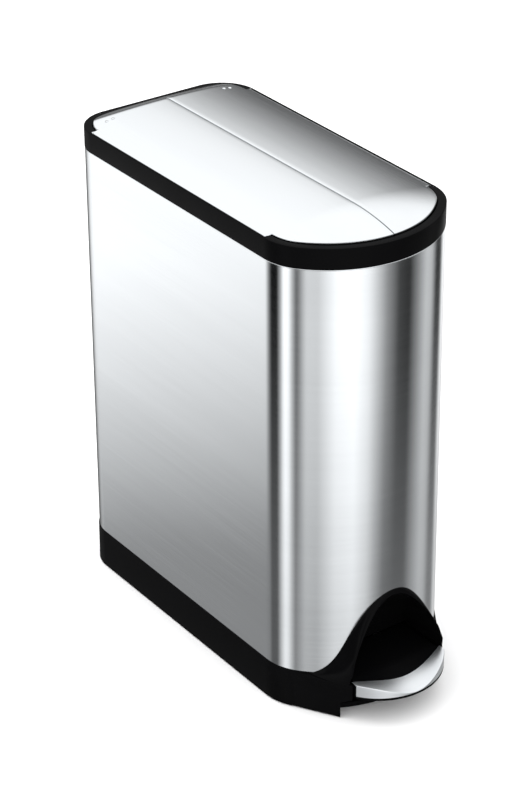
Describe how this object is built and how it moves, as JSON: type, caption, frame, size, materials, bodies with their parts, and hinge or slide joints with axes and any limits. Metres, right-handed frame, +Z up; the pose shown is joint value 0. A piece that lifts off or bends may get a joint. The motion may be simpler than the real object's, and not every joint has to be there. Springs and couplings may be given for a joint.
{
  "type": "pedal trash can",
  "caption": "Slim pedal-operated trash can in brushed steel: two half lids that open sideways, black collar and base, a crescent foot pedal under a hooded toe space, and a lift-out bucket.",
  "frame": {"origin": "on the floor under the middle of the whole can, pedal included", "axes": "+Z up, +X across the narrow side to the user's left when facing the pedal side, -Y towards the pedal"},
  "size_m": [0.257, 0.5874, 0.6636],
  "materials": {
    "body_steel": "satin brushed stainless steel, grain running round the can",
    "lid_steel": "fine satin brushed stainless steel",
    "pedal_steel": "brushed stainless steel, grain across the pedal",
    "black_plastic": "satin black moulded plastic",
    "gloss_black": "glossy black moulded plastic",
    "dark_moulding": "dark grey structural moulding",
    "bucket_plastic": "grey moulded plastic",
    "zinc_steel": "bright zinc-plated pressed steel",
    "bright_steel": "ground steel rod",
    "nylon": "natural white nylon",
    "soft_rubber": "soft dark rubber",
    "damper_metal": "black painted tube"
  },
  "bodies": {
    "can_body": {"shell": "body_steel", "top_collar": "black_plastic", "base": "black_plastic", "pedal_hood": "gloss_black", "rubber_feet": "soft_rubber", "base_screws": "zinc_steel", "lid_bumpers": "soft_rubber", "left_hinge_pins": "bright_steel", "right_hinge_pins": "bright_steel", "right_axle_bracket": "zinc_steel", "left_axle_bracket": "zinc_steel", "lever_axle": "bright_steel", "axle_clips": "zinc_steel", "axle_spacers": "nylon", "lower_rod_guide": "dark_moulding", "upper_rod_guide": "dark_moulding", "rear_cover": "dark_moulding", "cover_screws": "zinc_steel", "damper_cylinder": "damper_metal", "damper_bracket": "dark_moulding"},
    "pedal": {"pedal_plate": "pedal_steel", "pedal_body": "black_plastic", "pedal_lever": "zinc_steel", "pedal_screws": "zinc_steel", "lever_roller": "nylon", "roller_pin": "bright_steel"},
    "lift": {"lift_rod": "bright_steel", "rod_foot": "nylon", "lift_yoke": "zinc_steel", "rod_nut": "zinc_steel", "damper_clamp": "dark_moulding", "damper_rod": "bright_steel"},
    "right_lid": {"right_lid_skin": "lid_steel", "right_lid_frame": "black_plastic", "right_lid_arm": "zinc_steel", "right_cam_pin": "bright_steel", "right_lid_rivets": "bright_steel"},
    "left_lid": {"left_lid_skin": "lid_steel", "left_lid_frame": "black_plastic", "left_lid_arm": "zinc_steel", "left_cam_pin": "bright_steel", "left_lid_rivets": "bright_steel"},
    "bucket": {"inner_bucket": "bucket_plastic"}
  },
  "joints": [
    {"name": "pedal_hinge", "type": "hinge", "parent": "can_body", "child": "pedal", "pos_m": [0, -0.01275, 0.045], "axis": [1, 0, 0], "range_deg": [0, 5.68]},
    {"name": "rod_slide", "type": "slide", "parent": "can_body", "child": "lift", "axis": [0, 0, 1], "range_m": [0, 0.027]},
    {"name": "right_lid_hinge", "type": "hinge", "parent": "can_body", "child": "right_lid", "pos_m": [0.1185, 0.02725, 0.648], "axis": [0, 1, 0], "range_deg": [0, 78]},
    {"name": "left_lid_hinge", "type": "hinge", "parent": "can_body", "child": "left_lid", "pos_m": [-0.1185, 0.02725, 0.648], "axis": [0, -1, 0], "range_deg": [0, 78]},
    {"name": "bucket_slide", "type": "slide", "parent": "can_body", "child": "bucket", "axis": [0, 0, 1], "range_m": [0, 0.02]}
  ],
  "couplings": [
    {"joint": "rod_slide", "follows": "pedal_hinge", "m_per_rad": 0.272},
    {"joint": "right_lid_hinge", "follows": "pedal_hinge", "ratio": 13.716},
    {"joint": "left_lid_hinge", "follows": "pedal_hinge", "ratio": 13.716}
  ]
}
